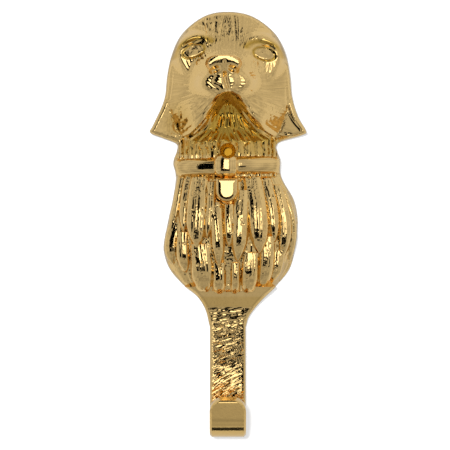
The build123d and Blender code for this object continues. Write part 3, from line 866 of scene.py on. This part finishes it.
def polishGroup():  # how evenly the buffing wheel reached the metal
    takes = {"Place": "Vector", "Smooth": "Float", "Dull": "Float"}
    group, given, made = newGroup("polish", takes, {"Roughness": "Float", "Haze": "Float"})
    place = given["Place"]
    drawn = addNode(group, "VectorMath", {0: place, 1: buffing["stretch"]}, operation="MULTIPLY")
    lines = addNode(group, "TexNoise", {"Vector": drawn.outputs["Vector"], "Scale": 1,
                                        "Detail": buffing["lineDetail"]})
    clouds = addNode(group, "TexNoise", {"Vector": place, "Scale": buffing["cloud"],
                                         "Detail": buffing["cloudDetail"]})
    low, high = buffing["level"]
    level = addNode(group, "MapRange", {
        "Value": mathNode(group, "MULTIPLY", lines.outputs["Fac"], clouds.outputs["Fac"]),
        "From Min": low, "From Max": high, "To Min": given["Smooth"], "To Max": given["Dull"]})
    group.links.new(level.outputs["Result"], made["Roughness"])
    group.links.new(clouds.outputs["Fac"], made["Haze"])
    return group


# painted shade in hollows: the pointiness range, the most it adds, and the random haze's share
paintedShadePooling = {"hollow": (0.5, 0.42), "most": 0.3, "hazeShare": 0.1}


def hazeAndPaintedShadeGroup():  # colour of the brass: random haze, and painted shade, darker and redder in hollows by pointiness and by the painted shade run
    takes = {"Haze": "Float", "PaintedShadeAmount": "Float", "Bare": "Color", "PaintedShadeTint": "Color"}
    group, given, made = newGroup("hazeAndPaintedShade", takes, {"Colour": "Color"})
    flat, hollow = paintedShadePooling["hollow"]
    # painted shade where the surface is hollow, by pointiness
    deep = addNode(group, "MapRange", {
        "Value": addNode(group, "NewGeometry").outputs["Pointiness"],
        "From Min": flat, "From Max": hollow, "To Max": paintedShadePooling["most"]})
    paintedShade = mathNode(group, "ADD", deep.outputs["Result"], given["PaintedShadeAmount"])
    share = addNode(group, "Math", {0: given["Haze"], 1: paintedShadePooling["hazeShare"], 2: paintedShade},
                    operation="MULTIPLY_ADD", use_clamp=True)
    mix = addNode(group, "Mix", {0: share.outputs[0], 6: given["Bare"], 7: given["PaintedShadeTint"]},
                  data_type="RGBA")
    group.links.new(mix.outputs[2], made["Colour"])
    return group


castGrain, polish, hazeAndPaintedShade = castGrainGroup(), polishGroup(), hazeAndPaintedShadeGroup()

# the three brass finishes; each one's second colour is painted shade for hollows
finishes = {
    "polishedBrass": {"bare": (0.92, 0.64, 0.265), "hollowShadeTint": (0.64, 0.39, 0.06), "roughness": (0.05, 0.16),
                      "grain": 900, "pits": 0.5, "relief": 0.12},
    "castBrass": {"bare": (0.55, 0.39, 0.18), "hollowShadeTint": (0.4, 0.25, 0.1), "roughness": (0.32, 0.55),
                  "grain": 500, "pits": 0.8, "relief": 0.6},
    # the screw seat: rougher drilled metal; its darker, more orange colour is painted shade of the recess
    "drilledBrassPaintedShade": {"bare": (0.72, 0.44, 0.07), "hollowShadeTint": (0.6, 0.35, 0.05), "roughness": (0.2, 0.35),
                     "grain": 1200, "pits": 0.2, "relief": 0.2},
}
reliefDepth = 0.0002


def brassMaterial(name, finish):
    material = bpy.data.materials.new(name)
    material.use_nodes = True
    tree = material.node_tree
    place = addNode(tree, "TexCoord").outputs["Object"]
    smooth, dull = finish["roughness"]
    skin = addNode(tree, "Group", {"Place": place, "Size": finish["grain"], "Pits": finish["pits"]},
                   node_tree=castGrain)
    buff = addNode(tree, "Group", {"Place": place, "Smooth": smooth, "Dull": dull}, node_tree=polish)
    # the painted shade run, read from the points
    shadeRun = addNode(tree, "Attribute", attribute_name="paintedShadeRun")
    colour = addNode(tree, "Group", {"Haze": buff.outputs["Haze"], "PaintedShadeAmount": shadeRun.outputs["Fac"],
                                     "Bare": (*finish["bare"], 1), "PaintedShadeTint": (*finish["hollowShadeTint"], 1)},
                     node_tree=hazeAndPaintedShade)
    relief = addNode(tree, "Bump", {"Strength": finish["relief"], "Distance": reliefDepth,
                                    "Height": skin.outputs["Height"]})
    shader = tree.nodes["Principled BSDF"]
    shader.inputs["Metallic"].default_value = 1
    tree.links.new(relief.outputs["Normal"], shader.inputs["Normal"])
    tree.links.new(buff.outputs["Roughness"], shader.inputs["Roughness"])
    tree.links.new(colour.outputs["Colour"], shader.inputs["Base Color"])
    return material


# painted shade and painted warm reflection, by place on the casting: darker, redder brass in the throat, on
# the land just below the chest, under the brows, in the lid creases, on the left ear's rough hair and low on
# the hook away from the wall
paintedShadeRuns = {
    "throat": dict(share=0.9, edge=(0.0, 3.5), shares=(0.6, 0.4), neck=(-2.4, -1), chin=(2, 6)),
    "land": dict(share=0.3, top=(-56, -57), low=(-61, -60)),
    "brow": dict(share=0.85, at=2.3, wide=0.9), "lid": 0.9, "ear": 0.5,
    "hook": dict(share=0.25, z=(-92, -96), front=-12), "front": -1,
}


def paintedShadeRun(x, y, z):
    throat, land, brow, hook = (paintedShadeRuns[name] for name in ("throat", "land", "brow", "hook"))
    shadeRun = throat["share"] * ease(*throat["edge"], insideDistance(x, z, lipLoop()))
    neck, chin = throat["shares"]  # less of it down the neck
    shadeRun *= neck * ease(*throat["neck"], z) + chin * ease(*throat["chin"], z)
    shadeRun += land["share"] * ease(*land["top"], z) * ease(*land["low"], z)
    for e in eyeShape:
        v, ring = eyeAxes(x, z, e)[1:]
        shadeRun += brow["share"] * ease(*eyeCut["upper"], v) * ridge(ring - brow["at"], brow["wide"])
        shadeRun += paintedShadeRuns["lid"] * lidCrease(ring)
    shadeRun += paintedShadeRuns["ear"] * mound(x, z, earShape["worn"][0])  # the left ear alone
    shadeRun += hook["share"] * ease(*hook["z"], z) * (y < hook["front"])
    return shadeRun * (y < paintedShadeRuns["front"])


def placesOf(items, name):  # x, y and z in millimetres
    flat = np.zeros(3 * len(items))
    items.foreach_get(name, flat)
    return (flat.reshape(-1, 3) / mm).T


crispFaces = {"half": 6.2, "y": (-5.2, -3.8), "below": -66}  # file marks stay crisp
slack = {"back": 0.02, "pocket": 0.05}
mesh = body.data
# the painted shade run, stored on the points for the brass colour
shadeRunLayer = mesh.attributes.new("paintedShadeRun", "FLOAT", "POINT")
shadeRunLayer.data.foreach_set("value", paintedShadeRun(*placesOf(mesh.vertices, "co")))
mesh.materials.clear()
for name, finish in finishes.items():
    mesh.materials.append(brassMaterial(name, finish))
x, y, z = placesOf(mesh.polygons, "center")
deepest, shallowest = crispFaces["y"]
crisp = (np.abs(x) < crispFaces["half"]) & (y < shallowest) & (y > deepest) & (z < crispFaces["below"])
mesh.polygons.foreach_set("use_smooth", ~crisp)
finishIndex = np.zeros(len(mesh.polygons), dtype=np.int32)
finishIndex[y > -slack["back"]] = 1
for p in backShape["pockets"]:
    within = np.hypot(x, z - p["z"]) < p["radius"] + slack["pocket"]
    finishIndex[within & (y > -p["depth"] - slack["pocket"])] = 1
# the screw seat gets the drilled finish, with its painted shade colour
finishIndex[(np.hypot(x, z) < mouth + slack["back"]) & (y < -slack["back"])] = 2
mesh.polygons.foreach_set("material_index", finishIndex)
print("brass finishes laid on")
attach(body, "root")
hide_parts("hook_casting")


# wall behind, seen only from its front
wallShape = {"size": 0.5, "gap": 0.0004, "colour": (0.24, 0.24, 0.24, 1), "glow": 0.61, "mirrored": 0.1,
             "near": 0.012}


def wallPaint():
    paint = bpy.data.materials.new("wallPaint")
    paint.use_nodes = True
    tree = paint.node_tree
    tree.nodes.clear()
    ray = addNode(tree, "LightPath").outputs
    seen = mathNode(tree, "MULTIPLY", ray["Is Glossy Ray"], wallShape["mirrored"])
    seen = mathNode(tree, "ADD", ray["Is Camera Ray"], seen)
    seen = mathNode(tree, "ADD", seen, ray["Is Transmission Ray"])
    seen = mathNode(tree, "MULTIPLY", seen, wallShape["glow"])
    glow = addNode(tree, "Emission", {"Strength": seen})
    matt = addNode(tree, "BsdfDiffuse", {"Color": wallShape["colour"]})
    both = addNode(tree, "AddShader", {0: matt.outputs[0], 1: glow.outputs[0]})
    clear = addNode(tree, "BsdfTransparent")
    near = mathNode(tree, "LESS_THAN", ray["Ray Length"], wallShape["near"])  # and not from close by
    hidden = mathNode(tree, "MAXIMUM", addNode(tree, "NewGeometry").outputs["Backfacing"], near)
    shown = addNode(tree, "MixShader", {0: hidden, 1: both.outputs[0], 2: clear.outputs[0]})
    addNode(tree, "OutputMaterial", {"Surface": shown.outputs[0]})
    return paint


def flatPiece(name, corners, material):
    piece = newPiece(name, corners, [tuple(range(len(corners)))])
    piece.data.materials.append(material)
    return piece


half, gap = wallShape["size"] / 2, wallShape["gap"]
corners = [(-half, gap, -half), (half, gap, -half), (half, gap, half), (-half, gap, half)]
wall = flatPiece("wall", corners, wallPaint())

# a dark brown disc on the wall behind the screw hole: painted shade, so the hole reads dark
shadeDiscShape = {"radius": 0.0022, "gap": 0.0002, "sides": 32, "colour": (0.27, 0.14, 0.012, 1), "roughness": 0.9}
shadeDiscPaint = bpy.data.materials.new("paintedHoleShade")
shadeDiscPaint.use_nodes = True
shadeDiscShader = shadeDiscPaint.node_tree.nodes["Principled BSDF"]
shadeDiscShader.inputs["Base Color"].default_value = shadeDiscShape["colour"]
shadeDiscShader.inputs["Roughness"].default_value = shadeDiscShape["roughness"]
radius, gap = shadeDiscShape["radius"], shadeDiscShape["gap"]
corners = [(radius * math.cos(a), gap, radius * math.sin(a)) for a in turns(shadeDiscShape["sides"])]
shadeDisc = flatPiece("paintedShadeDisc", corners, shadeDiscPaint)


# studio: an even tent with cards and flags near the lens, by direction
studio = {
    "tent": 0.68, "low": 0.46, "lowFade": (-45, -15), "rimFade": (0.1, 0.5), "background": 1,
    "panels": (0.08, 13.0, 0.07, 17.0),  # seams and folds: depth and count round the tent, then up it
    # centre azimuth and elevation, half sizes, soft edge, level
    "cards": [
        (0, -87, 180, 5, 3, 0.03), (-18.5, 9, 11.5, 33, 2, 0.0), (0, -16.5, 16, 7.5, 2, 0.0),
        (1.5, 8.5, 7.8, 17, 1.5, 2.6), (55, 38, 18, 12, 14, 0.85), (-14, 61, 16, 11, 3, 0.0),
    ],
}


def tentLevel(tree):
    where = addNode(tree, "TexCoord").outputs["Generated"]
    axes = addNode(tree, "SeparateXYZ", {0: where}).outputs
    forward = mathNode(tree, "MULTIPLY", axes["Y"], -1)
    azimuth = mathNode(tree, "ARCTAN2", axes["X"], forward)
    elevation = mathNode(tree, "ARCSINE", axes["Z"])
    low, high = (math.radians(angle) for angle in studio["lowFade"])
    fade = addNode(tree, "MapRange", {"Value": elevation, "From Min": low, "From Max": high,
                                      "To Min": studio["low"], "To Max": studio["tent"]})
    low, high = studio["rimFade"]  # towards the wall's own brightness low over it
    level = addNode(tree, "MapRange", {"Value": forward, "From Min": low, "From Max": high,
                                       "To Min": studio["tent"], "To Max": fade.outputs["Result"]})
    sideWave, sideCount, upWave, upCount = studio["panels"]
    folds = mathNode(tree, "SINE", mathNode(tree, "MULTIPLY_ADD", azimuth, sideCount, 1.0))
    folds = mathNode(tree, "MULTIPLY", folds, sideWave)
    upFolds = mathNode(tree, "SINE", mathNode(tree, "MULTIPLY", elevation, upCount))
    folds = mathNode(tree, "MULTIPLY_ADD", upFolds, upWave, folds)
    total = mathNode(tree, "ADD", level.outputs["Result"], folds)
    for az, el, halfAz, halfEl, soft, cardLevel in studio["cards"]:
        mask = 1.0
        for angle, centre, reach in ((azimuth, az, halfAz), (elevation, el, halfEl)):
            off = mathNode(tree, "ABSOLUTE", mathNode(tree, "SUBTRACT", angle, math.radians(centre)))
            outer, inner = math.radians(reach + soft), math.radians(reach)
            edge = addNode(tree, "MapRange", {"Value": off, "From Min": outer, "From Max": inner},
                           interpolation_type="SMOOTHSTEP")
            mask = mathNode(tree, "MULTIPLY", mask, edge.outputs["Result"])
        total = mathNode(tree, "MULTIPLY_ADD", mask, mathNode(tree, "SUBTRACT", cardLevel, total), total)
    return total


world = bpy.data.worlds.new("tent")
bpy.context.scene.world = world
world.use_nodes = True
tent = world.node_tree
tent.nodes.clear()
sky = addNode(tent, "Background", {"Strength": tentLevel(tent)})
plain = addNode(tent, "Background", {"Strength": studio["background"]})
fromCamera = addNode(tent, "LightPath").outputs["Is Camera Ray"]
backdrop = addNode(tent, "MixShader", {0: fromCamera, 1: sky.outputs[0], 2: plain.outputs[0]})
addNode(tent, "OutputWorld", {"Surface": backdrop.outputs[0]})

keyLamp = {"size": 0.12, "energy": 32, "spot": (-0.12, -1.2, 0.09), "aim": (0, 0, -0.03)}
lampData = bpy.data.lights.new("keyLamp", "AREA")
lampData.shape = "DISK"
lampData.size = keyLamp["size"]
lampData.energy = keyLamp["energy"]
lamp = intoScene("keyLamp", lampData)
lamp.location = keyLamp["spot"]
lamp.rotation_euler = (Vector(keyLamp["aim"]) - Vector(keyLamp["spot"])).to_track_quat("-Z", "Y").to_euler()
lamp.visible_glossy = False

# camera, square on to the wall
cameraSpot = {"distance": 0.9, "middle": (-0.00109, -0.0287), "frameWidth": 0.1755, "framePlane": 0.003,
              "sensor": 36}
away = cameraSpot["distance"]
lens = bpy.data.cameras.new("camera")
lens.sensor_width = cameraSpot["sensor"]
lens.lens = cameraSpot["sensor"] * (away - cameraSpot["framePlane"]) / cameraSpot["frameWidth"]
camera = intoScene("camera", lens)
camera.location = (cameraSpot["middle"][0], -away, cameraSpot["middle"][1])
camera.rotation_euler = (math.pi / 2, 0, 0)
bpy.context.scene.camera = camera
bpy.context.scene.view_settings.view_transform = "Standard"
print("studio and camera placed")
